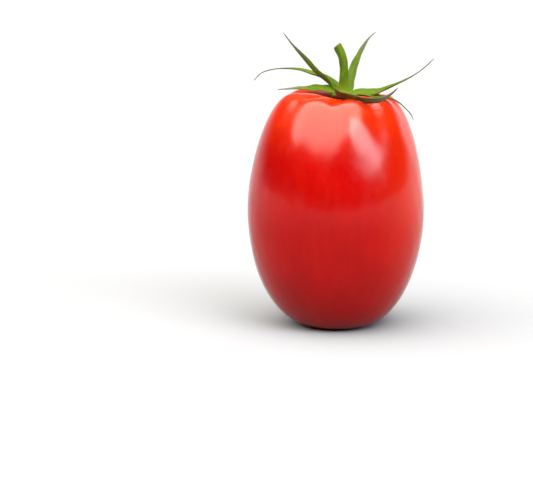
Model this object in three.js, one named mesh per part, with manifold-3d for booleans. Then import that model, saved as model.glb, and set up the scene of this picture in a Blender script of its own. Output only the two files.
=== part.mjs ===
// A ripe plum tomato as picked, standing on its blossom end with its calyx and a short stalk.
// Millimetres, +Z up. The origin is the middle of the small flat spot that it stands on,
// +X is the side that the stalk's foot sits nearer to, and -Y is the front.
import * as THREE from "three";
import { mergeVertices } from "three/addons/utils/BufferGeometryUtils.js";
import Module from "manifold-3d";

const wasm = await Module();
wasm.setup();

// Driving dimensions
const bodyHeight = 72; // from the flat spot to the rim of the shoulder
const bodyRadius = 27;
const widestHeight = 36;
const flatRadius = 8;
const rimRadius = 14; // where the shoulder is highest
const dimpleDepth = 2.2;
const topLean = 2.1; // how far the stalk's foot and the dimple sit off the body's axis, towards +X
const rimLean = 0.42; // share of that which is left at the shoulder
const topSlope = { x: -0.03, y: 0.006 }; // the shoulder is highest at the left
const touchGap = 0.3; // between pieces that touch

// Shape of the body between its driving dimensions
const blossomRoundness = 10.5;
const flankRoundness = 20;
const upperFlankReach = 11.6;
const shoulderReach = 7.9;
const dimpleShape = { outer: 0.42, inner: 0.25 }; // smaller makes it narrower, in a flatter top
const triangularity = { size: 0.45, angle: 0.6 };
const ovalness = { size: 0.3, angle: 0.25 };
// Furrows that run down from the calyx over the shoulder: angle in degrees and depth
const furrows = [
  { angle: -98, depth: 0.75 },
  { angle: -56, depth: 0.85 },
  { angle: -15, depth: 0.6 },
  { angle: 27, depth: 0.8 },
  { angle: 70, depth: 0.65 },
  { angle: 118, depth: 0.8 },
  { angle: 166, depth: 0.6 },
  { angle: 216, depth: 0.75 },
];
const furrowWidth = 13; // degrees
const furrowFoot = 44; // height where the furrows have faded out
const bodySegments = 64;
const bodyRings = 36;

// Calyx and stalk
const collarRadius = 4.6;
const collarRise = 3.4; // from the bottom of the dimple to the foot of the stalk
const stalkRadius = 1.3;
const stalkFootRadius = 2.05;
const stalkEndRadius = 1.5;
const bladeThickness = 0.7;
const bladeEdgeShare = 0.6; // thickness at a blade's margin, as a share of its middle
const threadHalfWidth = 0.34;
const bladeSteps = 26;

const degrees = Math.PI / 180;
const smooth = (low, high, x) => THREE.MathUtils.smoothstep(x, low, high);

// The body

// Half outline in (radius, height): from the flat spot's edge up the flank, over the shoulder and
// into the dimple
const outline = new THREE.CurvePath();
outline.add(
  new THREE.CubicBezierCurve(
    new THREE.Vector2(flatRadius, 0),
    new THREE.Vector2(flatRadius + blossomRoundness, 0),
    new THREE.Vector2(bodyRadius, widestHeight - flankRoundness),
    new THREE.Vector2(bodyRadius, widestHeight),
  ),
);
outline.add(
  new THREE.CubicBezierCurve(
    new THREE.Vector2(bodyRadius, widestHeight),
    new THREE.Vector2(bodyRadius, widestHeight + upperFlankReach),
    new THREE.Vector2(rimRadius + shoulderReach, bodyHeight),
    new THREE.Vector2(rimRadius, bodyHeight),
  ),
);
outline.add(
  new THREE.CubicBezierCurve(
    new THREE.Vector2(rimRadius, bodyHeight),
    new THREE.Vector2(rimRadius * dimpleShape.outer, bodyHeight),
    new THREE.Vector2(rimRadius * dimpleShape.inner, bodyHeight - dimpleDepth),
    new THREE.Vector2(0, bodyHeight - dimpleDepth),
  ),
);

// How far the skin stands out from the outline, along its normal
function swell(radius, height, angle) {
  const level = Math.sin(Math.PI * THREE.MathUtils.clamp(height / bodyHeight, 0, 1));
  let out = triangularity.size * level * Math.cos(3 * (angle - triangularity.angle));
  out += ovalness.size * level * Math.cos(2 * (angle - ovalness.angle));
  const share = smooth(furrowFoot, bodyHeight, height) * smooth(3, rimRadius, radius);
  for (const furrow of furrows) {
    const turn = Math.abs(angle / degrees - furrow.angle) % 360;
    const away = Math.min(turn, 360 - turn) / furrowWidth;
    out -= furrow.depth * share * Math.exp(-away * away);
  }
  return out;
}

// Point of the skin: along runs from 0 at the flat spot's edge to 1 at the bottom of the dimple
function skinPoint(along, angle) {
  const { x: radius, y: height } = outline.getPointAt(along);
  const tangent = outline.getTangentAt(along);
  const out = along > 0 ? swell(radius, height, angle) : 0;
  const r = radius + out * tangent.y;
  const z = height - out * tangent.x;
  const inward = 1 - (1 - rimLean) * smooth(8, 19, radius);
  const lean = topLean * inward * Math.pow(THREE.MathUtils.clamp(z / bodyHeight, 0, 1), 6);
  const x = r * Math.cos(angle);
  const y = r * Math.sin(angle);
  const rise = (topSlope.x * x + topSlope.y * y) * smooth(46, bodyHeight, z);
  return new THREE.Vector3(x + lean, y, z + rise);
}

function bodyGeometry() {
  const points = [];
  const faces = [];
  for (let i = 0; i < bodyRings; i++) {
    for (let j = 0; j < bodySegments; j++) {
      points.push(skinPoint(i / bodyRings, (2 * Math.PI * j) / bodySegments));
    }
  }
  points.push(skinPoint(1, 0));
  const dimpleFloor = points.length - 1;
  for (let j = 0; j < bodySegments; j++) {
    const next = (j + 1) % bodySegments;
    for (let i = 0; i < bodyRings - 1; i++) {
      const low = i * bodySegments;
      const high = low + bodySegments;
      faces.push(low + j, low + next, high + next, low + j, high + next, high + j);
    }
    const last = (bodyRings - 1) * bodySegments;
    faces.push(last + j, last + next, dimpleFloor);
  }
  // The flat spot is one fan, seen from below
  for (let j = 1; j < bodySegments - 1; j++) faces.push(0, j + 1, j);
  return closedGeometry(points, faces);
}

// Geometry from points and faces, and the way to and from solids

function closedGeometry(points, faces) {
  const geometry = new THREE.BufferGeometry().setFromPoints(points);
  geometry.setIndex(faces);
  geometry.computeVertexNormals();
  return geometry;
}

function solidOf(geometry) {
  const bare = geometry.clone();
  bare.deleteAttribute("normal");
  bare.deleteAttribute("uv");
  const merged = mergeVertices(bare, 1e-4);
  return new wasm.Manifold(
    new wasm.Mesh({
      numProp: 3,
      vertProperties: new Float32Array(merged.attributes.position.array),
      triVerts: new Uint32Array(merged.index.array),
    }),
  );
}

function geometryOf(solid) {
  const mesh = solid.getMesh();
  const geometry = new THREE.BufferGeometry();
  geometry.setAttribute("position", new THREE.BufferAttribute(mesh.vertProperties, 3));
  geometry.setIndex(new THREE.BufferAttribute(mesh.triVerts, 1));
  geometry.computeVertexNormals();
  return geometry;
}

// The calyx

const calyxCentre = new THREE.Vector3(topLean, 0, bodyHeight - dimpleDepth + touchGap);

// Each sepal: points that its midrib runs through, in the frame of the whole fruit (x, y, z), half
// width, how soon it narrows, twist at its root and at its tip in degrees, and how far it is cupped
const sepals = [
  {
    // Rises to the left, folded along its midrib
    rib: [
      [2, 0.4, 71.8], [-0.4, 1.3, 73], [-1.7, 2.1, 74.4], [-3.4, 2.8, 75.8], [-6.3, 3.6, 78.1],
      [-10.9, 4.6, 83.2], [-13.7, 5, 86.5], [-16.5, 5.2, 90.2],
    ],
    half: 1.95, narrowing: 1.2, twist: [0, 48], cup: 0.75,
  },
  {
    // Arches over behind the first and ends in a long thread
    rib: [
      [2.2, 1.2, 72], [-0.6, 4.6, 74.3], [-3.4, 7.6, 75.7], [-6.9, 10.2, 76.7], [-12, 13.2, 77.8],
      [-18.7, 15, 77.6], [-23.2, 15.6, 76.2], [-25.4, 15.8, 73.9],
    ],
    half: 2.1, narrowing: 2.9, twist: [0, -14], cup: 0.3,
  },
  {
    // Lies out over the left shoulder
    rib: [
      [2, -0.2, 72], [-2.8, 0.8, 73.3], [-8.7, 2, 73.4], [-11.6, 2.6, 73.3], [-14.6, 3.2, 73.05],
      [-18.2, 3.2, 72.8],
    ],
    half: 2.6, narrowing: 1.4, twist: [-16, -20], cup: 0.1,
  },
  {
    // Stands up behind the stalk, its inner face to the front
    rib: [
      [2.8, 1.4, 71.8], [3.7, 3.4, 73], [4.2, 4.9, 75], [4.7, 6.1, 76.8], [5.4, 7.6, 79],
      [6.7, 9, 82], [8.2, 10, 84.8], [10.3, 10.8, 87.9], [12.4, 11.2, 89.7],
    ],
    half: 1.7, narrowing: 1.15, twist: [0, -6], cup: 0.2,
  },
  {
    // Runs out over the right shoulder, then lifts into a long thin tip
    rib: [
      [3, -0.6, 72], [5.7, -2.6, 72.8], [8.4, -5, 73], [11.3, -7, 73.4], [14.1, -8.4, 74.4],
      [17, -9.4, 75.9], [22.6, -10.6, 78.9], [26.7, -11, 82], [28.9, -11.2, 84.2],
    ],
    half: 2.9, narrowing: 3, twist: [16, 24], cup: 0.2,
  },
  {
    // Comes forward over the front of the shoulder and sweeps round to the right
    rib: [
      [2.2, -0.6, 71.9], [0.6, -2.2, 72.5], [-0.2, -4.2, 72.8], [1, -7, 72.5], [3.1, -10, 72.1],
      [5.8, -12.5, 71.9], [8.7, -14.2, 71.75], [12, -14.6, 72], [14.4, -14, 72.8], [16.4, -13.4, 74],
      [18.1, -12.8, 75.6],
    ],
    half: 1.75, narrowing: 0.62, twist: [-50, -48], cup: 0.1,
  },
  {
    // Lies on the right shoulder and droops over its edge
    rib: [
      [3, -0.6, 72], [6.2, -4.4, 72.4], [9.5, -7, 72.4], [13, -8.7, 72.2], [16.4, -9.3, 71.7],
      [18.8, -9.5, 70.4], [20.7, -10.1, 68.7], [22.2, -10.7, 67.1], [22.9, -11, 65.5],
    ],
    half: 2.4, narrowing: 2.6, twist: [12, 0], cup: 0.2,
  },
];

// Half width of a blade, which is broad near the base and drawn out to a thread at the tip
function bladeHalfWidth(sepal, along) {
  const base = 0.8 + 0.2 * smooth(0, 0.22, along);
  const shape = base * Math.pow(1 - Math.pow(along, 1.8), sepal.narrowing);
  return Math.max(sepal.half * shape, threadHalfWidth);
}

// Points across a blade from one margin to the other, then back along its underside
const bladeAcross = [-1, -0.5, 0, 0.5, 1];

// How far a point has to be lifted to clear the fruit below it
const fruitBelow = new THREE.Mesh(bodyGeometry());
const straightDown = new THREE.Vector3(0, 0, -1);

function liftNeeded(point) {
  const above = new THREE.Vector3(point.x, point.y, 2 * bodyHeight);
  const [hit] = new THREE.Raycaster(above, straightDown).intersectObject(fruitBelow);
  return hit ? Math.max(0, hit.point.z + touchGap - point.z) : 0;
}

function sepalGeometry(sepal) {
  const through = sepal.rib.map((p) => new THREE.Vector3(...p));
  const rib = new THREE.CatmullRomCurve3(through, false, "centripetal");
  const ring = bladeAcross.length * 2;
  const points = [];
  const faces = [];
  const up = new THREE.Vector3(0, 0, 1);
  for (let i = 0; i <= bladeSteps; i++) {
    const along = i / bladeSteps;
    const centre = rib.getPointAt(along);
    const forward = rib.getTangentAt(along);
    up.addScaledVector(forward, -up.dot(forward)).normalize();
    const twist = THREE.MathUtils.lerp(...sepal.twist, along) * degrees;
    const normal = up.clone().applyAxisAngle(forward, twist);
    const side = new THREE.Vector3().crossVectors(forward, normal);
    const half = bladeHalfWidth(sepal, along);
    const cup = sepal.cup * smooth(0, 0.3, along);
    const blade = (across, face) => {
      const edge = 1 - (1 - bladeEdgeShare) * across * across;
      const lift = cup * half * across * across + (face * edge * bladeThickness) / 2;
      return centre.clone().addScaledVector(side, across * half).addScaledVector(normal, lift);
    };
    // Both faces are lifted alike, so a blade that lies on the fruit keeps its thickness
    const lifts = bladeAcross.map((across) => liftNeeded(blade(across, -1)));
    const placed = (n, face) => {
      const point = blade(bladeAcross[n], face);
      point.z += lifts[n];
      return point;
    };
    for (let n = 0; n < bladeAcross.length; n++) points.push(placed(n, 1));
    for (let n = bladeAcross.length - 1; n >= 0; n--) points.push(placed(n, -1));
  }
  for (let i = 0; i < bladeSteps; i++) {
    for (let j = 0; j < ring; j++) {
      const a = i * ring + j;
      const b = i * ring + ((j + 1) % ring);
      // The underside is split like the upper face, so that the two never cross
      if (j < bladeAcross.length) faces.push(a, b, b + ring, a, b + ring, a + ring);
      else faces.push(a, b, a + ring, b, b + ring, a + ring);
    }
  }
  const tip = bladeSteps * ring;
  for (let j = 1; j < ring - 1; j++) {
    faces.push(0, j + 1, j);
    faces.push(tip, tip + j, tip + j + 1);
  }
  return closedGeometry(points, faces);
}

// The collar that the sepals grow from: a low cone whose underside follows the dimple
function collarGeometry() {
  const profile = [
    new THREE.Vector2(0, 0),
    new THREE.Vector2(collarRadius * 0.5, 0.2),
    new THREE.Vector2(collarRadius * 0.85, 1.2),
    new THREE.Vector2(collarRadius * 0.85, 1.8),
    new THREE.Vector2(collarRadius * 0.72, 2.4),
    new THREE.Vector2(stalkFootRadius + 0.3, collarRise - touchGap),
    new THREE.Vector2(0, collarRise - touchGap),
  ];
  return new THREE.LatheGeometry(profile, 32)
    .rotateX(Math.PI / 2)
    .translate(calyxCentre.x, calyxCentre.y, calyxCentre.z);
}

function calyxGeometry() {
  let calyx = solidOf(collarGeometry());
  for (const sepal of sepals) calyx = calyx.add(solidOf(sepalGeometry(sepal)));
  return geometryOf(calyx);
}

// The stalk

// It stands on the collar, bends to the left and ends in a cut a little wider than itself
function stalkGeometry() {
  const footHeight = calyxCentre.z + collarRise;
  const bends = [
    [0, 0, 0], [0, 0, 3], [0.05, 0, 5.7], [-0.1, 0.1, 7.9], [-0.55, 0.3, 10.1], [-2.1, 0.6, 13.3],
  ];
  const axis = new THREE.CatmullRomCurve3(
    bends.map(([x, y, z]) => new THREE.Vector3(topLean + x, y, footHeight + z)),
  );
  const steps = 22;
  const segments = 20;
  const ridges = 5;
  const points = [];
  const faces = [];
  const up = new THREE.Vector3(1, 0, 0);
  for (let i = 0; i <= steps; i++) {
    const along = i / steps;
    const centre = axis.getPointAt(along);
    const forward = i === 0 ? new THREE.Vector3(0, 0, 1) : axis.getTangentAt(along);
    up.addScaledVector(forward, -up.dot(forward)).normalize();
    const side = new THREE.Vector3().crossVectors(forward, up);
    const foot = (stalkFootRadius - stalkRadius) * Math.pow(1 - along, 7);
    const end = (stalkEndRadius - stalkRadius) * smooth(0.72, 1, along);
    for (let j = 0; j < segments; j++) {
      const angle = (2 * Math.PI * j) / segments;
      const r = (stalkRadius + foot + end) * (1 + 0.045 * Math.cos(ridges * angle));
      points.push(
        centre.clone().addScaledVector(up, r * Math.cos(angle)).addScaledVector(side, r * Math.sin(angle)),
      );
    }
  }
  for (let i = 0; i < steps; i++) {
    for (let j = 0; j < segments; j++) {
      const a = i * segments + j;
      const b = i * segments + ((j + 1) % segments);
      faces.push(a, b, b + segments, a, b + segments, a + segments);
    }
  }
  const cut = steps * segments;
  for (let j = 1; j < segments - 1; j++) {
    faces.push(0, j + 1, j);
    faces.push(cut, cut + j, cut + j + 1);
  }
  return closedGeometry(points, faces);
}

// Colours

const skinRed = new THREE.MeshStandardMaterial({ color: 0xc81004, roughness: 0.22, metalness: 0 });
const sepalGreen = new THREE.MeshStandardMaterial({ color: 0x6f8d1f, roughness: 0.6, metalness: 0 });
const stalkGreen = new THREE.MeshStandardMaterial({ color: 0x647c12, roughness: 0.65, metalness: 0 });

function piece(name, geometry, material) {
  const mesh = new THREE.Mesh(geometry, material);
  mesh.name = name;
  return mesh;
}

const tomato = new THREE.Group();
tomato.name = "tomato";
tomato.add(piece("fruit", bodyGeometry(), skinRed));
tomato.add(piece("calyx", calyxGeometry(), sepalGreen));
tomato.add(piece("stalk", stalkGeometry(), stalkGreen));

export default tomato;
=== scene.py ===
# A ripe plum tomato with its calyx and stalk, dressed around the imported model.
# Shapes are worked out in millimetres and handed to Blender in metres.
import math
import random

import bmesh
import bpy
import numpy as np
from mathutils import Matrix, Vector
from mathutils.bvhtree import BVHTree
from mathutils.kdtree import KDTree


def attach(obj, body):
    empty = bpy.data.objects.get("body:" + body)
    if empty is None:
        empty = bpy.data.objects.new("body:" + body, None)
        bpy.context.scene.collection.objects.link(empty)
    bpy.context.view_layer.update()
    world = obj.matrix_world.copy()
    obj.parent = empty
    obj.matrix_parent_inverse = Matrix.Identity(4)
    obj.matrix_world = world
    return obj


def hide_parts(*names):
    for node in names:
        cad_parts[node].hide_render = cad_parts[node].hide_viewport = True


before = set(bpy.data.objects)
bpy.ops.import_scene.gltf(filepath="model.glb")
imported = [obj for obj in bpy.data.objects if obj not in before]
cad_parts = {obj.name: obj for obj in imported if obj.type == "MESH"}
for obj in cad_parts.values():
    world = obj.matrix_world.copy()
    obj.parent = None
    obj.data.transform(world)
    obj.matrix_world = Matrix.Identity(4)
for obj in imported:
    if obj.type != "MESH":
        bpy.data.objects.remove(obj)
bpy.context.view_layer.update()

mm = 0.001


# Small helpers

def smoothStep(low, high, x):
    t = np.clip((np.asarray(x, float) - low) / (high - low), 0.0, 1.0)
    return t * t * (3 - 2 * t)


def bezier(a, b, c, d, count):
    t = np.linspace(0, 1, count)[:, None]
    a, b, c, d = (np.array(p, float) for p in (a, b, c, d))
    return (1 - t) ** 3 * a + 3 * (1 - t) ** 2 * t * b + 3 * (1 - t) * t * t * c + t ** 3 * d


def ripple(points, seed, waves, wavelength):
    # gentle unevenness: a few plane waves in seeded random directions, about 1 high at most
    rng = random.Random(seed)
    total = np.zeros(len(points))
    for _ in range(waves):
        direction = np.array([rng.gauss(0, 1) for _ in range(3)])
        direction /= np.linalg.norm(direction)
        length = wavelength * rng.uniform(0.7, 1.5)
        total += np.sin(points @ direction * 2 * math.pi / length + rng.uniform(0, 2 * math.pi))
    return total / math.sqrt(waves) / 1.5


def makeMesh(name, points, faces):
    mesh = bpy.data.meshes.new(name)
    mesh.from_pydata((np.asarray(points) * mm).tolist(), [], faces)
    mesh.validate()
    mesh.polygons.foreach_set("use_smooth", [True] * len(mesh.polygons))
    mesh.update()
    piece = bpy.data.objects.new(name, mesh)
    bpy.context.scene.collection.objects.link(piece)
    return piece


def tubeFaces(rows, around, first=0):
    # quads between rows of points that go round, each row with the same number of points
    faces = []
    for i in range(rows - 1):
        low = first + i * around
        for j in range(around):
            k = (j + 1) % around
            faces.append((low + j, low + k, low + around + k, low + around + j))
    return faces


def capFaces(start, around, tip, facing):
    # a fan from one row of points to a single point
    if facing > 0:
        return [(start + j, start + (j + 1) % around, tip) for j in range(around)]
    return [(start + (j + 1) % around, start + j, tip) for j in range(around)]


def setAttribute(piece, name, values):
    attribute = piece.data.attributes.new(name, "FLOAT", "POINT")
    attribute.data.foreach_set("value", np.asarray(values, dtype=np.float32))


def meshPoints(piece):
    flat = np.empty(len(piece.data.vertices) * 3)
    piece.data.vertices.foreach_get("co", flat)
    return flat.reshape(-1, 3) / mm


def movePoints(piece, points):
    piece.data.vertices.foreach_set("co", (points * mm).ravel())
    piece.data.update()


def catmullRom(points, perSpan=40):
    # a smooth curve through the points, even where they are unevenly spaced
    points = np.array(points, float)
    ends = np.vstack([2 * points[0] - points[1], points, 2 * points[-1] - points[-2]])
    t = np.linspace(0, 1, perSpan, endpoint=False)[:, None]
    curve = []
    for a, b, c, d in zip(ends, ends[1:], ends[2:], ends[3:]):
        before, here, after = (np.linalg.norm(q - p) ** 0.5 for p, q in ((a, b), (b, c), (c, d)))
        leaving = here * ((b - a) / before - (c - a) / (before + here) + (c - b) / here)
        arriving = here * ((c - b) / here - (d - b) / (here + after) + (d - c) / after)
        curve.append(
            (2 * t ** 3 - 3 * t ** 2 + 1) * b + (t ** 3 - 2 * t ** 2 + t) * leaving
            + (3 * t ** 2 - 2 * t ** 3) * c + (t ** 3 - t ** 2) * arriving
        )
    return np.vstack(curve + [points[-1:]])


def evenly(curve, steps):
    # the same curve at even distances, and its direction at each of them
    lengths = np.concatenate([[0], np.cumsum(np.linalg.norm(np.diff(curve, axis=0), axis=1))])
    at = np.linspace(0, lengths[-1], steps)
    points = np.stack([np.interp(at, lengths, curve[:, i]) for i in range(3)], axis=1)
    forward = np.gradient(points, axis=0)
    return points, forward / np.linalg.norm(forward, axis=1)[:, None]


# Materials are built from these

def newMaterial(name):
    material = bpy.data.materials.new(name)
    material.use_nodes = True
    tree = material.node_tree
    return material, tree, tree.nodes["Principled BSDF"]


def addNode(tree, kind, inputs=None, **settings):
    # inputs: socket name or number to a value, or to another node's output
    node = tree.nodes.new(kind)
    for setting, value in settings.items():
        setattr(node, setting, value)
    for socket, value in (inputs or {}).items():
        if isinstance(value, bpy.types.NodeSocket):
            tree.links.new(value, node.inputs[socket])
        else:
            node.inputs[socket].default_value = value
    return node


def maths(tree, operation, a, b=0.0, clamp=False):
    return addNode(tree, "ShaderNodeMath", {0: a, 1: b}, operation=operation, use_clamp=clamp).outputs[0]


def times(tree, a, b):
    return maths(tree, "MULTIPLY", a, b)


def plus(tree, a, b):
    return maths(tree, "ADD", a, b)


def remap(tree, value, low, high, newLow=0.0, newHigh=1.0):
    inputs = {"Value": value, "From Min": low, "From Max": high, "To Min": newLow, "To Max": newHigh}
    return addNode(tree, "ShaderNodeMapRange", inputs, interpolation_type="SMOOTHSTEP").outputs["Result"]


def mixColour(tree, factor, a, b, blend="MIX"):
    node = tree.nodes.new("ShaderNodeMix")
    node.data_type = "RGBA"
    node.blend_type = blend
    for socket, value in ((0, factor), (6, a), (7, b)):
        if isinstance(value, bpy.types.NodeSocket):
            tree.links.new(value, node.inputs[socket])
        elif socket == 0:
            node.inputs[0].default_value = value
        else:
            node.inputs[socket].default_value = (*value, 1.0)
    return node.outputs[2]


def noise(tree, where, scale, detail=2.0, roughness=0.5):
    inputs = {"Vector": where, "Scale": scale, "Detail": detail, "Roughness": roughness}
    return addNode(tree, "ShaderNodeTexNoise", inputs).outputs["Fac"]


def attributeValue(tree, name):
    return addNode(tree, "ShaderNodeAttribute", attribute_name=name).outputs["Fac"]


def stretched(tree, where, scale):
    return addNode(tree, "ShaderNodeMapping", {"Vector": where, "Scale": scale}).outputs["Vector"]


# Fruit: one continuous skin on the solid's outline, with its furrows drawn a little sharper

fruit = {
    "height": 72.0,           # from the flat spot to the rim of the shoulder
    "radius": 27.0,
    "widestHeight": 36.0,
    "flatRadius": 8.0,
    "rimRadius": 14.0,
    "dimpleDepth": 2.2,
    "dimpleShape": (0.42, 0.25),  # smaller makes a flatter top with a narrower dimple
    "topLean": 2.1,           # how far the dimple sits towards +X
    "rimLean": 0.42,          # share of that at the shoulder
    "topSlope": (-0.03, 0.006),   # how the top rises along X and along Y
    "blossomRoundness": 10.5,
    "flankRoundness": 20.0,
    "upperFlankReach": 11.6,
    "shoulderReach": 7.9,
    "triangularity": (0.45, 0.6),  # how far off round, and turned by what angle
    "ovalness": (0.3, 0.25),
    "furrows": (              # angle in degrees, depth
        (-101, 1.0), (-56, 0.9), (-15, 0.6), (27, 0.8), (70, 0.65), (118, 0.8), (166, 0.6), (219, 0.5),
    ),
    "furrowWidth": 13.0,      # degrees
    "furrowFoot": 44.0,       # the height that they start at
    "furrowEnd": 3.0,         # how near the middle they come
    "pinch": 0.6,             # how much deeper and sharper they are where they turn in, as a share
    "pinchRadius": 12.5,      # how far from the middle that is
    "pinchWidth": 3.2,
    "rings": 270,
    "segments": 316,
    "footRings": 22,
    "footHollow": 0.4,        # the flat spot is a little hollow, with the scar in its middle
    "scarRadius": 1.25,
    "scarDepth": (0.12, 0.2),  # in its middle, and round that
    "broadRipple": 0.16,
    "fineRipple": 0.028,
    "pucker": 0.1,            # creases in the dimple, where the skin is drawn in under the calyx
    "puckerReach": (11, 4.5),  # how far from the middle they start, and where they are whole
}


def fruitOutline():
    # half of the section, from the flat spot over the widest level and the rim into the dimple
    f = fruit
    foot = (f["flatRadius"], 0)
    waist = (f["radius"], f["widestHeight"])
    rim = (f["rimRadius"], f["height"])
    low = f["height"] - f["dimpleDepth"]
    outer, inner = f["dimpleShape"]
    up = bezier(foot, (foot[0] + f["blossomRoundness"], 0),
                (waist[0], waist[1] - f["flankRoundness"]), waist, 800)
    over = bezier(waist, (waist[0], waist[1] + f["upperFlankReach"]),
                  (rim[0] + f["shoulderReach"], rim[1]), rim, 800)
    into = bezier(rim, (rim[0] * outer, rim[1]), (rim[0] * inner, low), (0, low), 400)
    path = np.vstack([up, over[1:], into[1:]])
    steps = np.linalg.norm(np.diff(path, axis=0), axis=1)
    along = np.concatenate([[0], np.cumsum(steps)]) / steps.sum()
    return along, path, np.gradient(path, along, axis=0)


def furrowCut(angle, radius, height):
    f = fruit
    share = smoothStep(f["furrowFoot"], f["height"], height)
    share = share * smoothStep(f["furrowEnd"], f["rimRadius"], radius)
    pinch = f["pinch"] * np.exp(-((radius - f["pinchRadius"]) / f["pinchWidth"]) ** 2)
    cut = np.zeros_like(angle)
    for at, depth in f["furrows"]:
        turn = np.abs(np.degrees(angle) - at) % 360
        away = np.minimum(turn, 360 - turn) / f["furrowWidth"]
        # the pinch is half as wide as its furrow
        cut += depth * share * (np.exp(-away * away) + pinch * np.exp(-4 * away * away))
    return cut


def skinPoints(along, angle):
    # points of the skin, with the radius and height that they have on the plain outline
    f = fruit
    at, path, slope = fruitOutline()
    radius = np.interp(along, at, path[:, 0])
    height = np.interp(along, at, path[:, 1])
    tangentR, tangentZ = (np.interp(along, at, slope[:, i]) for i in (0, 1))
    size = np.hypot(tangentR, tangentZ)
    tangentR, tangentZ = tangentR / size, tangentZ / size
    level = np.sin(math.pi * np.clip(height / f["height"], 0, 1))
    out = f["triangularity"][0] * level * np.cos(3 * (angle - f["triangularity"][1]))
    out += f["ovalness"][0] * level * np.cos(2 * (angle - f["ovalness"][1]))
    out -= furrowCut(angle, radius, height)
    flat = np.stack([radius * np.cos(angle), radius * np.sin(angle), height], axis=1)
    fade = smoothStep(0, 0.06, along)  # nothing ripples beside the flat spot
    out += f["broadRipple"] * fade * ripple(flat, 11, 9, 26.0)
    out += f["fineRipple"] * fade * ripple(flat, 12, 16, 7.0)
    # creases that run in under the calyx, deeper towards its middle
    drawnIn = smoothStep(*f["puckerReach"], radius) * smoothStep(60, 70, height)
    creases = np.cos(11 * angle + 1.3 * np.sin(3 * angle + 0.7)) + 0.5 * np.cos(23 * angle + 2.0)
    out += f["pucker"] * drawnIn * creases * smoothStep(1, 4, radius)
    r = radius + out * tangentZ
    z = height - out * tangentR
    # the dimple leans by the whole of it, the shoulder less and the lower half hardly at all
    inward = 1 - (1 - f["rimLean"]) * smoothStep(8, 19, radius)
    lean = f["topLean"] * inward * np.clip(z / f["height"], 0, 1) ** 6
    x, y = r * np.cos(angle), r * np.sin(angle)
    rise = (f["topSlope"][0] * x + f["topSlope"][1] * y) * smoothStep(46, f["height"], z)
    return np.stack([x + lean, y, z + rise], axis=1), radius, height


def buildFruit():
    f = fruit
    around = f["segments"]
    turn = np.arange(around) * 2 * math.pi / around
    farAway = 99.0  # for every point that is nowhere near the scar, or the stem
    inMiddle, roundIt = f["scarDepth"]
    rows = [[(0, 0, f["footHollow"] - inMiddle)]]
    fromScar = [np.zeros(1)]
    for i in range(1, f["footRings"]):
        share = i / f["footRings"]
        radius = f["flatRadius"] * share
        uneven = f["scarRadius"] * (1 + 0.16 * np.cos(5 * turn + 0.8) + 0.1 * np.cos(3 * turn))
        scar = np.clip(1 - radius / uneven, 0, 1)
        z = f["footHollow"] * (1 - share ** 2) ** 2 - roundIt * np.sqrt(scar)
        z += 0.03 * np.cos(9 * turn) * (scar > 0)
        # faint creases run out from the scar
        z += 0.02 * smoothStep(0, 0.3, share) * np.cos(14 * turn + 2 * np.sin(3 * turn)) * (1 - share)
        rows.append(np.stack([radius * np.cos(turn), radius * np.sin(turn), z], axis=1))
        fromScar.append(radius / uneven)
    fromStem = [np.full(1 + around * (f["footRings"] - 1), farAway)]
    for i in range(f["rings"]):
        points, radius, height = skinPoints(np.full(around, i / f["rings"]), turn)
        rows.append(points)
        fromScar.append(np.full(around, farAway))
        fromStem.append(np.where(height > f["widestHeight"], radius, farAway))
    points, radius, height = skinPoints(np.ones(1), np.zeros(1))
    rows.append(points)
    fromScar.append(np.full(1, farAway))
    fromStem.append(np.zeros(1))
    points = np.vstack(rows)
    count = f["footRings"] - 1 + f["rings"]
    faces = capFaces(1, around, 0, -1) + tubeFaces(count, around, 1)
    faces += capFaces(1 + (count - 1) * around, around, len(points) - 1, 1)
    piece = makeMesh("fruit_skin", points, faces)
    setAttribute(piece, "fromScar", np.concatenate(fromScar))
    setAttribute(piece, "fromStem", np.concatenate(fromStem))
    return piece


skinFinish = {
    "red": (0.243, 0.0005, 0.0002),
    "deepRed": (0.186, 0.0004, 0.0002),
    "shoulderOrange": (0.38, 0.02, 0.0006),
    "paintedLitSide": (0.36, 0.014, 0.0008),  # painted light: lighter flank towards +X, where the soft light from the right falls
    "speck": (0.5, 0.07, 0.008),
    "stemGreen": (0.3, 0.1, 0.006),
    "scar": (0.23, 0.12, 0.04),
    "scarPale": (0.5, 0.34, 0.16),
    "gloss": 0.18,            # roughness of the skin
    "dimpleDull": 0.22,       # added to it in the dimple
    "shine": 0.5,             # specular level, and in the dimple
    "dimpleShine": 0.08,
    "lowShine": 0.4,          # share of the shine and wax that is left on the lower flank
    "ior": 1.37,
    "scatter": 0.08,          # light scattered under the skin, its tint and its depth in mm
    "scatterTint": (1.0, 0.18, 0.08),
    "scatterDepth": 1.4,
    "wax": 0.08,              # strength of the clear coat
    "waxGloss": 0.06,
}


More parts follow.
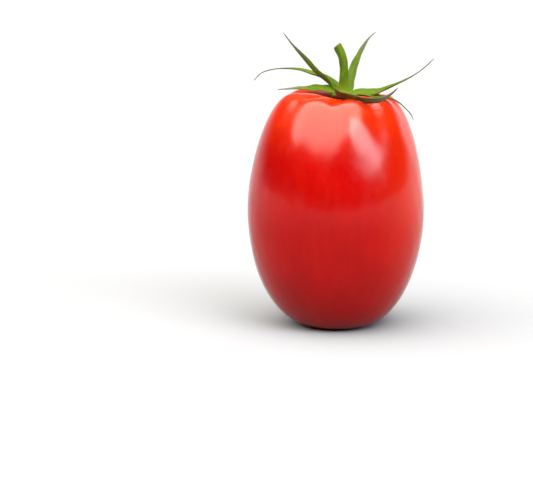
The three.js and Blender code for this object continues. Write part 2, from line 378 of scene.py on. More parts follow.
def skinMaterial():
    s = skinFinish
    material, tree, shader = newMaterial("tomato_skin")
    where = addNode(tree, "ShaderNodeTexCoord").outputs["Object"]
    side, _, height = addNode(tree, "ShaderNodeSeparateXYZ", {0: where}).outputs
    # broad patches of deeper red, and faint streaks that run from the stem end to the blossom end
    patches = remap(tree, noise(tree, where, 55, 3), 0.35, 0.7)
    streaks = remap(tree, noise(tree, stretched(tree, where, (1, 1, 0.12)), 420, 4, 0.6), 0.4, 0.75)
    colour = mixColour(tree, times(tree, patches, 0.6), s["red"], s["deepRed"])
    colour = mixColour(tree, times(tree, streaks, 0.07), colour, s["shoulderOrange"])
    # the shoulder is a little more orange, unevenly
    shoulder = remap(tree, height, 0.052, 0.0735)
    uneven = remap(tree, noise(tree, where, 130, 3), 0.3, 0.75)
    shoulder = times(tree, shoulder, plus(tree, times(tree, uneven, 0.4), 0.45))
    colour = mixColour(tree, shoulder, colour, s["shoulderOrange"])
    # painted light: the flank towards +X is painted lighter and more orange, for the soft light from the
    # right
    paintedLitFlank = times(tree, remap(tree, side, 0.009, 0.027), remap(tree, height, 0.02, 0.045, 0.35, 0.8))
    colour = mixColour(tree, paintedLitFlank, colour, s["paintedLitSide"])
    # tiny pale specks, thicker towards the stem end
    cells = addNode(tree, "ShaderNodeTexVoronoi", {"Vector": where, "Scale": 620.0, "Randomness": 1.0})
    dot = remap(tree, cells.outputs["Distance"], 0.05, 0.15, 1.0, 0.0)
    chosen = addNode(tree, "ShaderNodeSeparateColor", {0: cells.outputs["Color"]}).outputs[0]
    chosen = maths(tree, "GREATER_THAN", chosen, 0.55)
    amount = remap(tree, height, 0.02, 0.072, 0.05, 0.3)
    speck = times(tree, times(tree, dot, chosen), amount)
    colour = mixColour(tree, speck, colour, s["speck"])
    # a yellow-green star where the stem was joined, under the calyx
    fromStem = attributeValue(tree, "fromStem")
    wobble = times(tree, noise(tree, where, 500, 2), 3.0)
    star = remap(tree, plus(tree, fromStem, wobble), 4.5, 8.5, 0.75, 0.0)
    colour = mixColour(tree, star, colour, s["stemGreen"])
    # the small corky scar at the blossom end, with a paler ring of skin round it
    fromScar = attributeValue(tree, "fromScar")
    cork = remap(tree, fromScar, 0.75, 1.05, 1.0, 0.0)
    pale = remap(tree, fromScar, 1.0, 3.2, 0.35, 0.0)
    colour = mixColour(tree, pale, colour, s["speck"])
    crumbly = remap(tree, noise(tree, where, 2600, 4), 0.35, 0.65)
    colour = mixColour(tree, cork, colour, mixColour(tree, crumbly, s["scar"], s["scarPale"]))
    tree.links.new(colour, shader.inputs["Base Color"])
    # waxy, with the slightest unevenness, and less glossy where it is drawn in under the calyx
    gloss = remap(tree, noise(tree, where, 700, 3), 0.3, 0.7, s["gloss"] - 0.025, s["gloss"] + 0.03)
    gloss = plus(tree, gloss, remap(tree, fromStem, 5, 11, s["dimpleDull"], 0.0))
    gloss = addNode(tree, "ShaderNodeMix", {0: cork, 2: gloss, 3: 0.8}).outputs[0]  # the scar is dull
    tree.links.new(gloss, shader.inputs["Roughness"])
    shader.inputs["IOR"].default_value = s["ior"]
    shader.inputs["Subsurface Weight"].default_value = s["scatter"]
    shader.inputs["Subsurface Radius"].default_value = s["scatterTint"]
    shader.inputs["Subsurface Scale"].default_value = s["scatterDepth"] * mm
    # less shine towards the foot, and hardly any in the dimple
    polished = remap(tree, height, 0.03, 0.047, s["lowShine"], 1.0)
    shine = times(tree, polished, remap(tree, fromStem, 7.5, 13, s["dimpleShine"], s["shine"]))
    tree.links.new(shine, shader.inputs["Specular IOR Level"])
    wax = times(tree, polished, remap(tree, fromStem, 7.5, 13, 0.0, s["wax"]))
    tree.links.new(wax, shader.inputs["Coat Weight"])
    shader.inputs["Coat Roughness"].default_value = s["waxGloss"]
    shader.inputs["Coat IOR"].default_value = 1.45
    # a hint of pores and of the cells under the skin, and a rough scar
    relief = times(tree, noise(tree, where, 2400, 2), 0.35)
    relief = plus(tree, relief, noise(tree, where, 380, 2))
    corkRelief = times(tree, noise(tree, where, 5200, 4), times(tree, cork, 6.0))
    relief = plus(tree, relief, corkRelief)
    bump = addNode(tree, "ShaderNodeBump", {"Strength": 0.35, "Distance": 0.02 * mm, "Height": relief})
    tree.links.new(bump.outputs["Normal"], shader.inputs["Normal"])
    return material


skin = buildFruit()
skin.data.materials.append(skinMaterial())
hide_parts("fruit")
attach(skin, "root")
print("fruit:", len(skin.data.polygons), "faces")


# Calyx: seven sepals that grow out of one collar, joined into one skin

calyx = {
    "centre": (2.1, 0.0, 70.1),
    "collar": (               # its section from below to the top of its rise: radius, height
        (0, 0.05), (2.6, 0.2), (3.9, 0.9), (4.25, 1.55), (3.8, 2.1),
        (3.0, 2.5), (2.35, 2.95), (2.0, 3.3), (1.2, 3.35), (0, 3.35),
    ),
    "collarAround": 72,
    "thickness": 0.6,
    "tipThickness": 0.34,
    "threadHalfWidth": 0.2,
    "fuller": 0.12,           # added to each half width, for what the smoothing takes off
    "groove": 0.07,           # along the middle of the upper face, with the midrib under it
    "midrib": 0.16,
    "veins": (0.42, 0.74),    # fainter ones: where across each half they run, and how deep
    "veinDepth": 0.035,
    "steps": 150,
    "around": 36,
    "grain": 0.124,           # size of the faces that the joined skin is made of
    "clearance": 0.14,        # between a sepal and the fruit's skin
    # each sepal: points its midrib runs through, half width, how soon it narrows, twist at its
    # root and at its tip in degrees, cupping, how much its margins wave, and the painted shade on
    # its underside (dark brown, with the fruit's red bounce painted in): how far along it reaches,
    # and from where across
    "sepals": (
        # rising left
        {"rib": ((2, 0.4, 71.8), (-0.4, 1.3, 73), (-1.7, 2.1, 74.4), (-3.4, 2.8, 75.8),
                 (-6.3, 3.6, 78.1), (-10.9, 4.6, 83.2), (-13.7, 5, 86.5), (-16.5, 5.2, 90.2)),
         "half": 1.95, "narrowing": 1.2, "twist": (0, 48),
         "cup": 0.75, "wave": 0.1, "paintedShade": (0.55, 0.15)},
        # arching back
        {"rib": ((2.2, 1.2, 72), (-0.6, 4.6, 74.3), (-3.4, 7.6, 75.7), (-6.9, 10.2, 76.7),
                 (-12, 13.2, 77.8), (-18.7, 15, 77.6), (-23.2, 15.6, 76.2), (-25.4, 15.8, 73.9)),
         "half": 2.1, "narrowing": 2.9, "twist": (0, -14),
         "cup": 0.3, "wave": 0.12, "paintedShade": (0.25, -1.5)},
        # lying left
        {"rib": ((2, -0.2, 72), (-2.8, 0.8, 73.3), (-8.7, 2.0, 73.4), (-11.6, 2.6, 73.3),
                 (-14.6, 3.2, 73.05), (-18.2, 3.2, 72.8)),
         "half": 2.6, "narrowing": 1.4, "twist": (-16, -20),
         "cup": 0.1, "wave": 0.12, "paintedShade": (0.25, -1.5)},
        # standing back
        {"rib": ((2.8, 1.4, 71.8), (3.7, 3.4, 73), (4.2, 4.9, 75), (4.7, 6.1, 76.8), (5.4, 7.6, 79),
                 (6.7, 9, 82), (8.2, 10, 84.8), (10.3, 10.8, 87.9), (12.4, 11.2, 89.7)),
         "half": 1.7, "narrowing": 1.15, "twist": (0, -6),
         "cup": 0.2, "wave": 0.04, "paintedShade": (0.2, -1.5)},
        # lifting right
        {"rib": ((3, -0.6, 72), (5.7, -2.6, 72.8), (8.4, -5, 73), (11.3, -7, 73.4), (14.1, -8.4, 74.4),
                 (17, -9.4, 75.9), (22.6, -10.6, 78.9), (26.7, -11, 82), (28.9, -11.2, 84.2)),
         "half": 2.9, "narrowing": 3.0, "twist": (16, 24),
         "cup": 0.2, "wave": 0.12, "paintedShade": (0.2, -1.5)},
        # sweeping front
        {"rib": ((2.2, -0.6, 71.9), (0.6, -2.2, 72.5), (-0.2, -4.2, 72.8), (1.0, -7.0, 72.5),
                 (3.1, -10.0, 72.1), (5.8, -12.5, 71.9), (8.7, -14.2, 71.75), (12.0, -14.6, 72.0),
                 (14.4, -14.0, 72.8), (16.4, -13.4, 74.0), (18.1, -12.8, 75.6)),
         "half": 1.75, "narrowing": 0.62, "twist": (-62, -44),
         "cup": 0.1, "wave": 0.14, "paintedShade": (0.86, -1.5)},
        # drooping right
        {"rib": ((3, -0.6, 72), (6.2, -4.4, 72.4), (9.5, -7.0, 72.4), (13, -8.7, 72.2),
                 (16.4, -9.3, 71.7), (18.8, -9.5, 70.4), (20.7, -10.1, 68.7), (22.2, -10.7, 67.1),
                 (22.9, -11, 65.5)),
         "half": 2.4, "narrowing": 2.6, "twist": (12, 0),
         "cup": 0.2, "wave": 0.12, "paintedShade": (0.3, -1.5)},
    ),
}


def sepalBlade(sepal, seed):
    # points of one closed blade, row by row, with how far along, how far across and which face each is
    c = calyx
    steps, around = c["steps"], c["around"]
    centre, forward = evenly(catmullRom(sepal["rib"]), steps)
    rng = random.Random(seed)
    phases = [rng.uniform(0, 2 * math.pi) for _ in range(6)]
    phi = np.arange(around) * 2 * math.pi / around
    across = np.cos(phi)
    face = np.sin(phi)
    up = Vector((0, 0, 1))
    rows, alongs, acrosses, faces = [], [], [], []
    for i in range(steps):
        along = i / (steps - 1)
        ahead = Vector(forward[i])
        up = (up - up.dot(ahead) * ahead).normalized()
        atRoot, atTip = sepal["twist"]
        turn = math.radians(atRoot + (atTip - atRoot) * along)
        normal = up * math.cos(turn) + ahead.cross(up) * math.sin(turn)
        side = np.array(ahead.cross(normal))
        normal = np.array(normal)
        base = 0.8 + 0.2 * float(smoothStep(0, 0.22, along))
        half = (sepal["half"] + c["fuller"]) * base * (1 - along ** 1.8) ** sepal["narrowing"]
        half = max(half, c["threadHalfWidth"] * (1 - 0.35 * float(smoothStep(0.93, 1, along))))
        # margins aren't ruler straight
        half *= 1 + 0.05 * math.sin(17 * along + phases[0]) + 0.035 * math.sin(31 * along + phases[1])
        thinned = float(smoothStep(0.35, 0.95, along))
        thick = c["thickness"] + (c["tipThickness"] - c["thickness"]) * thinned
        thick = min(thick, 1.7 * half)
        cup = sepal["cup"] * float(smoothStep(0, 0.3, along))
        wavy = sepal["wave"] * half * float(smoothStep(0.05, 0.3, along))
        left = math.sin(15 * along + phases[2]) + 0.6 * math.sin(27 * along + phases[3])
        right = math.sin(14 * along + phases[4]) + 0.6 * math.sin(29 * along + phases[5])
        margin = across * across
        lift = cup * half * margin + wavy * margin * np.where(across > 0, left, right)
        body = np.sign(face) * thick / 2 * np.sqrt(np.clip(1 - margin * margin, 0, 1))
        ribs = min(1.0, half / 1.2)  # they fade as the blade turns into a thread
        body -= np.where(face > 0, c["groove"] * ribs * np.exp(-(across / 0.14) ** 2), 0)
        body -= np.where(face < 0, c["midrib"] * ribs * np.exp(-(across / 0.17) ** 2), 0)
        for vein in c["veins"]:
            away = (np.abs(across) - vein) / 0.07
            body -= c["veinDepth"] * ribs * np.exp(-away * away)
        rows.append(centre[i] + np.outer(across * half, side) + np.outer(lift + body, normal))
        alongs.append(np.full(around, along))
        acrosses.append(across)
        faces.append(face)
    return np.vstack(rows), np.concatenate(alongs), np.concatenate(acrosses), np.concatenate(faces)


def collarPoints():
    # the disc that the sepals grow from, a little lobed, with its rise to the stalk
    c = calyx
    profile = catmullRom(c["collar"], 5)
    around = c["collarAround"]
    turn = np.arange(around) * 2 * math.pi / around
    lobed = 1 + 0.05 * np.cos(7 * turn + 0.5) + 0.03 * np.cos(4 * turn + 1.1)
    rows = [np.array([[0, 0, profile[0][1]]])]
    for radius, z in profile[1:-1]:
        reach = radius * (lobed if radius > 2.6 else np.ones(around))
        rows.append(np.stack([reach * np.cos(turn), reach * np.sin(turn), np.full(around, z)], axis=1))
    rows.append(np.array([[0, 0, profile[-1][1]]]))
    points = np.vstack(rows) + np.array(c["centre"])
    count = len(profile) - 2
    faces = capFaces(1, around, 0, -1) + tubeFaces(count, around, 1)
    faces += capFaces(1 + (count - 1) * around, around, len(points) - 1, 1)
    return points, faces


def keepOffSkin(points, skinTree, clearance):
    # lifts whatever would touch or enter the fruit until it clears its skin
    moved = points.copy()
    near = 4 * mm  # whatever is farther off is clear anyway
    for i, point in enumerate(points * mm):
        spot, normal, _, _ = skinTree.find_nearest(Vector(point), near)
        if spot is None:
            continue
        height = (Vector(point) - spot).dot(normal)
        if height < clearance * mm:
            moved[i] = np.array(Vector(point) + normal * (clearance * mm - height)) / mm
    return moved


def applied(piece, kind, **settings):
    # adds a modifier to the piece and applies it
    modifier = piece.modifiers.new(kind.title(), kind)
    for setting, value in settings.items():
        setattr(modifier, setting, value)
    result = piece.evaluated_get(bpy.context.evaluated_depsgraph_get())
    mesh = bpy.data.meshes.new_from_object(result)
    piece.modifiers.clear()
    old = piece.data
    piece.data = mesh
    bpy.data.meshes.remove(old)


def dropCrumbs(piece):
    # keeps the largest connected part of a mesh: the joining leaves specks and closed pockets inside
    mesh = bmesh.new()
    mesh.from_mesh(piece.data)
    left = set(mesh.verts)
    parts = []
    while left:
        edge = [left.pop()]
        part = list(edge)
        while edge:
            near = [link.other_vert(vertex) for vertex in edge for link in vertex.link_edges]
            edge = [vertex for vertex in set(near) if vertex in left]
            left.difference_update(edge)
            part += edge
        parts.append(part)
    parts.sort(key=len)
    bmesh.ops.delete(mesh, geom=[vertex for part in parts[:-1] for vertex in part], context="VERTS")
    mesh.to_mesh(piece.data)
    mesh.free()
    return len(parts) - 1


def joinSepals(skinTree):
    # the collar and all blades in one closed skin, and the blades' points to find one's place by
    c = calyx
    points, faces = collarPoints()
    allPoints = [keepOffSkin(points, skinTree, c["clearance"])]
    allFaces = list(faces)
    blades = []
    start = len(points)
    steps, around = c["steps"], c["around"]
    for number, sepal in enumerate(c["sepals"]):
        blade, along, across, face = sepalBlade(sepal, 40 + number)
        blade = keepOffSkin(blade, skinTree, c["clearance"])
        tips = np.array([blade[:around].mean(axis=0), blade[-around:].mean(axis=0)])
        allFaces += tubeFaces(steps, around, start)
        allFaces += capFaces(start, around, start + len(blade), -1)
        allFaces += capFaces(start + (steps - 1) * around, around, start + len(blade) + 1, 1)
        allPoints += [blade, tips]
        start += len(blade) + 2
        blades.append((blade, along, across, face, np.full(len(blade), number)))
    piece = makeMesh("calyx_leaf", np.vstack(allPoints), allFaces)
    applied(piece, "REMESH", mode="VOXEL", voxel_size=c["grain"] * mm, use_smooth_shade=True)
    print("calyx: joined,", dropCrumbs(piece), "crumbs dropped")
    return piece, [np.concatenate(part) for part in zip(*blades)]


def smoothCalyx(piece, skinTree):
    # evens out the faces, and rounds the places where the sepals meet the collar
    away = np.linalg.norm((meshPoints(piece) - np.array(calyx["centre"]))[:, :2], axis=1)
    heart = piece.vertex_groups.new(name="heart")
    for share in np.linspace(0.1, 1.0, 10):
        near = np.where(np.abs(smoothStep(8.5, 4.0, away) - share) <= 0.05)[0]
        heart.add(near.tolist(), float(share), "REPLACE")
    applied(piece, "SMOOTH", factor=0.5, iterations=1)
    applied(piece, "SMOOTH", factor=0.6, iterations=14, vertex_group="heart")
    piece.data.polygons.foreach_set("use_smooth", [True] * len(piece.data.polygons))
    movePoints(piece, keepOffSkin(meshPoints(piece), skinTree, calyx["clearance"] * 0.5))


def markCalyx(piece, guide):
    # tells the material how far along and across its sepal each point lies
    blades, along, across, face, number = guide
    tree = KDTree(len(blades))
    for i, point in enumerate(blades):
        tree.insert(point, i)
    tree.balance()
    points = meshPoints(piece)
    guided = np.zeros((len(points), 4))
    for i, point in enumerate(points):
        found = tree.find_n(point, 3)
        index = [entry[1] for entry in found]
        weight = np.array([1 / (entry[2] + 0.02) for entry in found])
        weight /= weight.sum()
        guided[i, :3] = weight @ along[index], weight @ across[index], weight @ face[index]
        guided[i, 3] = number[index[0]]
    along, across, face, number = guided.T
    middle = calyx["centre"]
    fromMiddle = np.linalg.norm((points - np.array(middle))[:, :2], axis=1)
    blend = smoothStep(3.2, 6.5, fromMiddle)  # 0 on the collar, 1 where the sepals are free of it
    # painted shade: sepal undersides near the collar, and the collar's lower side, are painted dark
    # brown where shade falls under them
    reach, side = np.array([sepal["paintedShade"] for sepal in calyx["sepals"]])[number.astype(int)].T
    paintedShade = smoothStep(-0.1, 0.45, -face) * smoothStep(reach, reach * 0.7, along) * blend
    paintedShade *= smoothStep(side - 0.3, side + 0.3, across)
    # painted shade on the lower side of the collar
    low = smoothStep(middle[2] + 2.15, middle[2] + 1.5, points[:, 2])
    low *= 1 - smoothStep(4.6, 5.6, fromMiddle)
    setAttribute(piece, "paintedShade", np.maximum(paintedShade, low))
    setAttribute(piece, "along", along * blend)
    setAttribute(piece, "across", across)
    setAttribute(piece, "underside", np.clip(-face, -1, 1) * blend)
    setAttribute(piece, "veined", blend)


leafFinish = {
    "heart": (0.048, 0.092, 0.0006),  # yellow-green middle of the calyx
    "leaf": (0.034, 0.062, 0.0008),
    "inner": (0.05, 0.082, 0.004),    # blotches in it
    "under": (0.062, 0.072, 0.008),
    "paintedShade": (0.055, 0.016, 0.003),   # painted shade, with the fruit's red bounce painted in, on undersides near the collar
    "vein": (0.072, 0.108, 0.008),
    "dryTip": (0.09, 0.083, 0.062),
    "margin": (0.065, 0.086, 0.005),
    "gloss": 0.5,                     # roughness
    "shine": 0.06,                    # specular level
    "scatter": 0.2,                   # light scattered inside, and its depth in mm
    "scatterDepth": 0.4,
}


def softGreen(shader, finish):
    # what leaves and stem have in common: hardly any shine, and some light comes through
    shader.inputs["Specular IOR Level"].default_value = finish["shine"]
    shader.inputs["Subsurface Weight"].default_value = finish["scatter"]
    shader.inputs["Subsurface Radius"].default_value = (0.7, 1.0, 0.25)
    shader.inputs["Subsurface Scale"].default_value = finish["scatterDepth"] * mm
    shader.inputs["Sheen Weight"].default_value = 0.01
    shader.inputs["Sheen Roughness"].default_value = 0.5


def leafMaterial():
    s = leafFinish
    material, tree, shader = newMaterial("sepal_green")
    where = addNode(tree, "ShaderNodeTexCoord").outputs["Object"]
    along, across, underside, veined = (
        attributeValue(tree, name) for name in ("along", "across", "underside", "veined")
    )
    blotches = remap(tree, noise(tree, where, 420, 4, 0.6), 0.3, 0.72)
    fine = remap(tree, noise(tree, where, 2200, 3, 0.6), 0.3, 0.7)
    colour = mixColour(tree, blotches, s["leaf"], s["inner"])
    colour = mixColour(tree, times(tree, fine, 0.25), colour, s["heart"])
    # younger and yellower towards the collar
    heart = remap(tree, along, 0.0, 0.34, 0.85, 0.0)
    colour = mixColour(tree, heart, colour, s["heart"])
    # midrib and the veins beside it, faint and broken
    size = maths(tree, "ABSOLUTE", across)
    stripes = maths(tree, "ABSOLUTE", maths(tree, "COSINE", times(tree, size, 8.6)))
    stripes = maths(tree, "POWER", stripes, 9.0)
    broken = remap(tree, noise(tree, where, 900, 2), 0.3, 0.65, 0.15, 0.6)
    midrib = remap(tree, size, 0.03, 0.16, 0.55, 0.0)
    veins = maths(tree, "MAXIMUM", times(tree, stripes, broken), midrib)
    veins = times(tree, times(tree, veins, veined), remap(tree, along, 0.55, 0.95, 0.75, 0.0))
    colour = mixColour(tree, veins, colour, s["vein"])
    edge = times(tree, remap(tree, size, 0.8, 0.98, 0.0, 0.45), veined)
    colour = mixColour(tree, edge, colour, s["margin"])
    pale = times(tree, remap(tree, underside, -0.2, 0.5), 0.6)
    colour = mixColour(tree, pale, colour, s["under"])
    # painted shade: dark reddish brown on undersides near the collar and on the collar's lower side,
    # standing in for shade and the fruit's red bounce
    colour = mixColour(tree, times(tree, attributeValue(tree, "paintedShade"), 0.9), colour, s["paintedShade"])
    # tips dry to a greyish brown
    uneven = times(tree, noise(tree, where, 300, 3), 0.2)
    dry = remap(tree, plus(tree, along, uneven), 0.64, 1.0)
    colour = mixColour(tree, times(tree, dry, 0.85), colour, s["dryTip"])
    tree.links.new(colour, shader.inputs["Base Color"])
    rough = remap(tree, noise(tree, where, 1500, 3), 0.3, 0.7, s["gloss"] - 0.08, s["gloss"] + 0.12)
    tree.links.new(rough, shader.inputs["Roughness"])
    softGreen(shader, s)
    relief = plus(tree, times(tree, veins, 1.6), times(tree, noise(tree, where, 2600, 4, 0.6), 0.9))
    bump = addNode(tree, "ShaderNodeBump", {"Strength": 0.7, "Distance": 0.05 * mm, "Height": relief})
    tree.links.new(bump.outputs["Normal"], shader.inputs["Normal"])
    return material


skinTree = BVHTree.FromObject(skin, bpy.context.evaluated_depsgraph_get())
leaf, bladePoints = joinSepals(skinTree)
smoothCalyx(leaf, skinTree)
markCalyx(leaf, bladePoints)
leaf.data.materials.append(leafMaterial())
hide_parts("calyx")
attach(leaf, "root")
print("calyx:", len(leaf.data.polygons), "faces")


# Stalk: a ridged stem with a flared foot and a cut end

stalk = {
    "foot": (2.1, 0.0, 73.0),
    "bends": (                # points that its middle runs through, from the foot
        (0, 0, 0), (0, 0, 3.5), (0.05, 0, 6.2), (-0.1, 0.1, 8.4), (-0.55, 0.3, 10.6), (-2.1, 0.6, 13.8),
    ),
    "radius": 1.3,
    "footRadius": 2.05,
    "endRadius": 1.36,
    "ridges": 5,
    "ridgeHeight": 0.045,     # as a share of the radius
    "steps": 190,
    "around": 80,
    "cutSlant": 14,           # degrees that the cut leans off square
    "rimRounding": 0.2,       # how much narrower the very end is, and over what share of the length
    "rimShare": 0.035,
    # the cut face from its rim inwards: share of the radius, how deep it is sunk, and how much it
    # looks like a cut: a thin lip, a shallow hollow and a slightly raised pith
    "cutFace": (
        (0.975, -0.035, 0.1), (0.93, 0.0, 0.4), (0.85, 0.07, 0.7), (0.7, 0.13, 0.9),
        (0.5, 0.12, 1.0), (0.3, 0.07, 1.0), (0.12, 0.06, 1.0), (0.0, 0.06, 1.0),
    ),
}


def buildStalk():
    s = stalk
    steps, around = s["steps"], s["around"]
    centre, forward = evenly(catmullRom(s["bends"]) + np.array(s["foot"]), steps)
    forward[0] = (0, 0, 1)
    turn = np.arange(around) * 2 * math.pi / around
    up = Vector((1, 0, 0))
    rows, along, cut = [], [], []
    slant = math.tan(math.radians(s["cutSlant"]))
    for i in range(steps):
        share = i / (steps - 1)
        ahead = Vector(forward[i])
        up = (up - up.dot(ahead) * ahead).normalized()
        side = ahead.cross(up)
        foot = (s["footRadius"] - s["radius"]) * (1 - share) ** 7
        end = (s["endRadius"] - s["radius"]) * float(smoothStep(0.72, 1, share))
        drift = turn + 0.5 * share
        ridge = np.cos(s["ridges"] * drift)
        ridge = ridge + 0.45 * np.cos(11 * drift + 1.0) + 0.25 * np.cos(17 * drift + 2.2)
        radius = (s["radius"] + foot + end) * (1 + s["ridgeHeight"] * ridge * (0.6 + 0.4 * share))
        radius = radius * (1 + 0.012 * math.sin(9 * share + 1) + 0.01 * np.sin(23 * share + 2 * turn))
        nearRim = max(0.0, 1 - (1 - share) / s["rimShare"])
        radius = radius * (1 - s["rimRounding"] * nearRim ** 2.5)
        ring = np.outer(radius * np.cos(turn), np.array(up))
        ring += np.outer(radius * np.sin(turn), np.array(side))
        # the last rows lean into the slanting cut
        lean = slant * float(smoothStep(0.86, 1, share))
        ring += np.outer(radius * np.cos(turn) * lean, np.array(ahead))
        rows.append(centre[i] + ring)
        along.append(np.full(around, share))
        cut.append(np.zeros(around))
    rim, ahead, middle = rows[-1], np.array(forward[-1]), centre[-1]
    for share, sink, mark in s["cutFace"][:-1]:
        rough = 0.025 * np.cos(7 * turn + 9 * share) * (1 - abs(2 * share - 1))
        rough += 0.02 * np.cos(13 * turn + 20 * share)
        rows.append(middle + (rim - middle) * share - np.outer(sink + rough * share, ahead))
        along.append(np.ones(around))
        cut.append(np.full(around, mark))
    points = np.vstack(rows + [[middle - ahead * s["cutFace"][-1][1]], [centre[0]]])
    count = len(rows)
    faces = tubeFaces(count, around) + capFaces((count - 1) * around, around, count * around, 1)
    faces += capFaces(0, around, count * around + 1, -1)
    piece = makeMesh("stalk_stem", points, faces)
    setAttribute(piece, "along", np.concatenate(along + [[1.0, 0.0]]))
    setAttribute(piece, "cut", np.concatenate(cut + [[1.0, 0.0]]))
    return piece


stemFinish = {
    "green": (0.041, 0.079, 0.0003),
    "pale": (0.069, 0.116, 0.0007),
    "dark": (0.028, 0.048, 0.0003),
    "foot": (0.085, 0.118, 0.001),
    "cutGreen": (0.12, 0.15, 0.03),
    "pith": (0.24, 0.24, 0.09),
    "dryRim": (0.055, 0.045, 0.015),
    "gloss": 0.46,
    "shine": 0.07,
    "scatter": 0.15,
    "scatterDepth": 0.5,
}


def stemMaterial():
    s = stemFinish
    material, tree, shader = newMaterial("stem_green")
    where = addNode(tree, "ShaderNodeTexCoord").outputs["Object"]
    along, cut = attributeValue(tree, "along"), attributeValue(tree, "cut")
    grain = remap(tree, noise(tree, stretched(tree, where, (1, 1, 0.16)), 1500, 4, 0.65), 0.3, 0.72)
    patches = remap(tree, noise(tree, where, 330, 3), 0.35, 0.7)
    colour = mixColour(tree, grain, s["green"], s["pale"])
    colour = mixColour(tree, times(tree, patches, 0.55), colour, s["dark"])
    colour = mixColour(tree, remap(tree, along, 0.0, 0.3, 0.75, 0.0), colour, s["foot"])
    # the skin dries a little just below the cut
    colour = mixColour(tree, remap(tree, along, 0.93, 1.0, 0.0, 0.45), colour, s["dryRim"])
    rings = remap(tree, noise(tree, where, 3800, 3), 0.35, 0.65)
    face = mixColour(tree, rings, s["cutGreen"], s["pith"])
    face = mixColour(tree, remap(tree, cut, 0.35, 0.95, 0.6, 0.0), face, s["dryRim"])
    colour = mixColour(tree, remap(tree, cut, 0.05, 0.4), colour, face)
    tree.links.new(colour, shader.inputs["Base Color"])
    rough = remap(tree, noise(tree, where, 1700, 3), 0.3, 0.7, s["gloss"] - 0.06, s["gloss"] + 0.14)
    tree.links.new(rough, shader.inputs["Roughness"])
    softGreen(shader, s)
    relief = plus(tree, grain, times(tree, noise(tree, where, 4200, 3, 0.6), 0.5))
    bump = addNode(tree, "ShaderNodeBump", {"Strength": 0.6, "Distance": 0.04 * mm, "Height": relief})
    tree.links.new(bump.outputs["Normal"], shader.inputs["Normal"])
    return material


stem = buildStalk()
stem.data.materials.append(stemMaterial())
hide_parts("stalk")
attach(stem, "root")
print("stalk:", len(stem.data.polygons), "faces")


# Fine hairs on the green parts

hair = {
    "onCalyx": 2200,
    "onStalk": 1000,
    "length": (0.16, 0.5),
    "thickness": 0.014,       # radius at the root
    "sunk": 0.05,             # how deep its root sits in what it grows from
    "tint": (0.34, 0.38, 0.2),
    "darkTint": (0.2, 0.25, 0.08),
}


def buildHair(name, carrier, count, seed):
    # one thin closed cone for each hair
    rng = random.Random(seed)
    mesh = carrier.data
    areas = np.empty(len(mesh.polygons))
    mesh.polygons.foreach_get("area", areas)
    reach = np.cumsum(areas)
    points, faces = [], []
    for _ in range(count):
        polygon = mesh.polygons[int(np.searchsorted(reach, rng.random() * reach[-1]))]
        corners = [mesh.vertices[v].co for v in polygon.vertices]
        shares = [rng.random() + 0.05 for _ in corners]
        root = sum((corner * share for corner, share in zip(corners, shares)), Vector())
        root = root / sum(shares) / mm
        lean = Vector((rng.gauss(0, 0.3), rng.gauss(0, 0.3), rng.gauss(0, 0.3)))
        ahead = (polygon.normal + lean).normalized()
        length = rng.uniform(*hair["length"]) * rng.uniform(0.6, 1.0)
        side = ahead.orthogonal().normalized()
        other = ahead.cross(side)
        first = len(points)
        for k in range(4):
            angle = k * math.pi / 2
            rim = side * math.cos(angle) + other * math.sin(angle)
            points.append(root - ahead * hair["sunk"] + rim * hair["thickness"])
        points.append(root + ahead * length)
        faces += [(first + k, first + (k + 1) % 4, first + 4) for k in range(4)]
        faces.append((first + 3, first + 2, first + 1, first))
    piece = makeMesh(name, np.array([tuple(p) for p in points]), faces)
    piece.data.materials.append(hairMaterial)
    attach(piece, "root")
    return piece


def makeHairMaterial():
    material, tree, shader = newMaterial("fine_hair")
    where = addNode(tree, "ShaderNodeTexCoord").outputs["Object"]
    tone = remap(tree, noise(tree, where, 900, 2), 0.35, 0.65)
    tree.links.new(mixColour(tree, tone, hair["tint"], hair["darkTint"]), shader.inputs["Base Color"])
    tree.links.new(remap(tree, tone, 0, 1, 0.4, 0.6), shader.inputs["Roughness"])
    return material


hairMaterial = makeHairMaterial()
buildHair("calyx_hair", leaf, hair["onCalyx"], 71)
buildHair("stalk_hair", stem, hair["onStalk"], 72)
print("hair:", hair["onCalyx"] + hair["onStalk"], "hairs")


# Studio: pale floor, soft panels painted into the world, and the camera

studio = {
    "floorSize": 9.0,         # metres
    "floorTint": (0.212, 0.222, 0.245),
    "room": 0.03,             # what the dark part of the room gives off
    "lowGlow": 0.1,           # the same, near the floor
    "backGlow": 0.95,         # added to that at the back, low down
    "backLean": 0.3,          # how much more of it comes from the right
    "backHigh": 0.2,          # share of it that is left higher up
    # the large panel overhead: its corners, where it crosses a ceiling one unit up
    "panelGlow": 8.0,
    "panelTint": (1.0, 0.95, 0.84),
    "panelEdge": 0.32,
    "panelCorners": (
        (-2.45, -0.8), (-0.75, -1.68), (0.5, -1.25), (1.1, -0.65), (0.8, 0.0),
        (0.3, 0.55), (-0.6, 0.65), (-1.5, 0.3), (-2.45, -0.1),
    ),
    # the smaller panel at the right: where it is, and its corners as seen from the fruit
    "sideGlow": 12.0,
    "sideTint": (1.0, 0.99, 1.0),
    "sideEdge": 0.1,
    "sideAzimuth": 52.0,
    "sideElevation": 27.0,
    "sideCorners": (
        (-0.6, 0.35), (-0.44, 0.0), (-0.19, -0.15), (0.05, -0.2), (0.33, -0.22),
        (0.4, -0.14), (0.28, 0.02), (-0.08, 0.35), (-0.45, 0.6),
    ),
    "cameraDistance": 800.0,  # millimetres, and so is the aim
    "cameraElevation": 11.3,
    "aim": (-21.52, 0.0, 25.8),
    "lens": 174.5,
}


def towards(azimuth, elevation):
    # unit direction from the fruit to one side of the studio: 0 is the front, 90 the right
    azimuth, elevation = math.radians(azimuth), math.radians(elevation)
    level = math.cos(elevation)
    return Vector((math.sin(azimuth) * level, -math.cos(azimuth) * level, math.sin(elevation)))


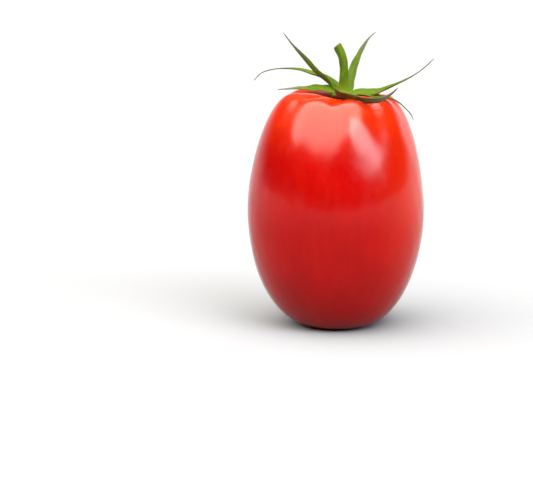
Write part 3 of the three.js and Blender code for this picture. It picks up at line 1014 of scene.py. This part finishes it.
def buildFloor():
    size = studio["floorSize"] / 2 / mm
    corners = [(-size, -size, 0), (size, -size, 0), (size, size, 0), (-size, size, 0)]
    floor = makeMesh("studio_floor", corners, [(0, 1, 2, 3)])
    material, tree, shader = newMaterial("floor_white")
    where = addNode(tree, "ShaderNodeTexCoord").outputs["Object"]
    tone = remap(tree, noise(tree, where, 3, 2), 0.3, 0.7, 0.0, 1.0)
    tint = studio["floorTint"]
    slightlyDarker = [0.98 * part for part in tint]
    tree.links.new(mixColour(tree, tone, tint, slightlyDarker), shader.inputs["Base Color"])
    shader.inputs["Roughness"].default_value = 0.9
    shader.inputs["Specular IOR Level"].default_value = 0.1
    floor.data.materials.append(material)


def panelShape(tree, x, y, corners, edge):
    # 1 inside the corners, which run anticlockwise, and 0 outside, with a soft edge
    inside = None
    for (x1, y1), (x2, y2) in zip(corners, corners[1:] + corners[:1]):
        length = math.hypot(x2 - x1, y2 - y1)
        outX, outY = (y1 - y2) / length, (x2 - x1) / length
        reach = plus(tree, times(tree, x, outX), times(tree, y, outY))
        reach = maths(tree, "SUBTRACT", reach, x1 * outX + y1 * outY)
        inside = reach if inside is None else maths(tree, "MINIMUM", inside, reach)
    return remap(tree, inside, -edge, edge)


def buildWorld():
    s = studio
    world = bpy.data.worlds.new("studio_world")
    world.use_nodes = True
    bpy.context.scene.world = world
    tree = world.node_tree
    background = tree.nodes["Background"]
    where = addNode(tree, "ShaderNodeTexCoord").outputs["Generated"]
    x, y, z = addNode(tree, "ShaderNodeSeparateXYZ", {0: where}).outputs
    above = maths(tree, "MAXIMUM", z, 0.02)
    panel = panelShape(tree, maths(tree, "DIVIDE", x, above), maths(tree, "DIVIDE", y, above),
                       s["panelCorners"], s["panelEdge"])
    panel = times(tree, panel, remap(tree, z, 0.02, 0.1))
    ahead = towards(s["sideAzimuth"], s["sideElevation"])
    across = towards(s["sideAzimuth"] + 90, 0)
    facing, sideways, upwards = (
        addNode(tree, "ShaderNodeVectorMath", {0: where, 1: axis}, operation="DOT_PRODUCT").outputs[1]
        for axis in (ahead, across, ahead.cross(across))
    )
    near = maths(tree, "MAXIMUM", facing, 0.05)
    side = panelShape(tree, maths(tree, "DIVIDE", sideways, near), maths(tree, "DIVIDE", upwards, near),
                      s["sideCorners"], s["sideEdge"])
    side = times(tree, side, remap(tree, facing, 0.1, 0.3))
    back = plus(tree, times(tree, x, s["backLean"]), s["backGlow"])
    back = times(tree, back, remap(tree, y, 0.35, 0.8))
    back = times(tree, back, remap(tree, z, 0.1, 0.3, 1.0, s["backHigh"]))
    back = plus(tree, back, remap(tree, z, -0.02, 0.1, s["lowGlow"], s["room"]))
    colour = addNode(tree, "ShaderNodeCombineXYZ", {0: back, 1: back, 2: back}).outputs[0]
    for shape, name in ((panel, "panel"), (side, "side")):
        light = [s[name + "Glow"] * part for part in s[name + "Tint"]]
        light = addNode(tree, "ShaderNodeVectorMath", {0: light, "Scale": shape}, operation="SCALE")
        inputs = {0: colour, 1: light.outputs[0]}
        colour = addNode(tree, "ShaderNodeVectorMath", inputs, operation="ADD").outputs[0]
    # past the floor's edge there is plain white
    seen = addNode(tree, "ShaderNodeLightPath").outputs["Is Camera Ray"]
    colour = mixColour(tree, seen, colour, (1.0, 1.0, 1.0))
    tree.links.new(colour, background.inputs["Color"])
    background.inputs["Strength"].default_value = 1.0


def buildCamera():
    s = studio
    aim = Vector(s["aim"]) * mm
    back = towards(0, s["cameraElevation"])
    data = bpy.data.cameras.new("camera")
    data.sensor_width = 36
    data.lens = s["lens"]
    data.clip_start = 0.01
    camera = bpy.data.objects.new("camera", data)
    camera.location = aim + back * s["cameraDistance"] * mm
    camera.rotation_euler = back.to_track_quat("Z", "Y").to_euler()
    bpy.context.scene.collection.objects.link(camera)
    bpy.context.scene.camera = camera


buildFloor()
buildWorld()
buildCamera()
bpy.context.scene.view_settings.view_transform = "Standard"
print("studio: floor, world and camera")
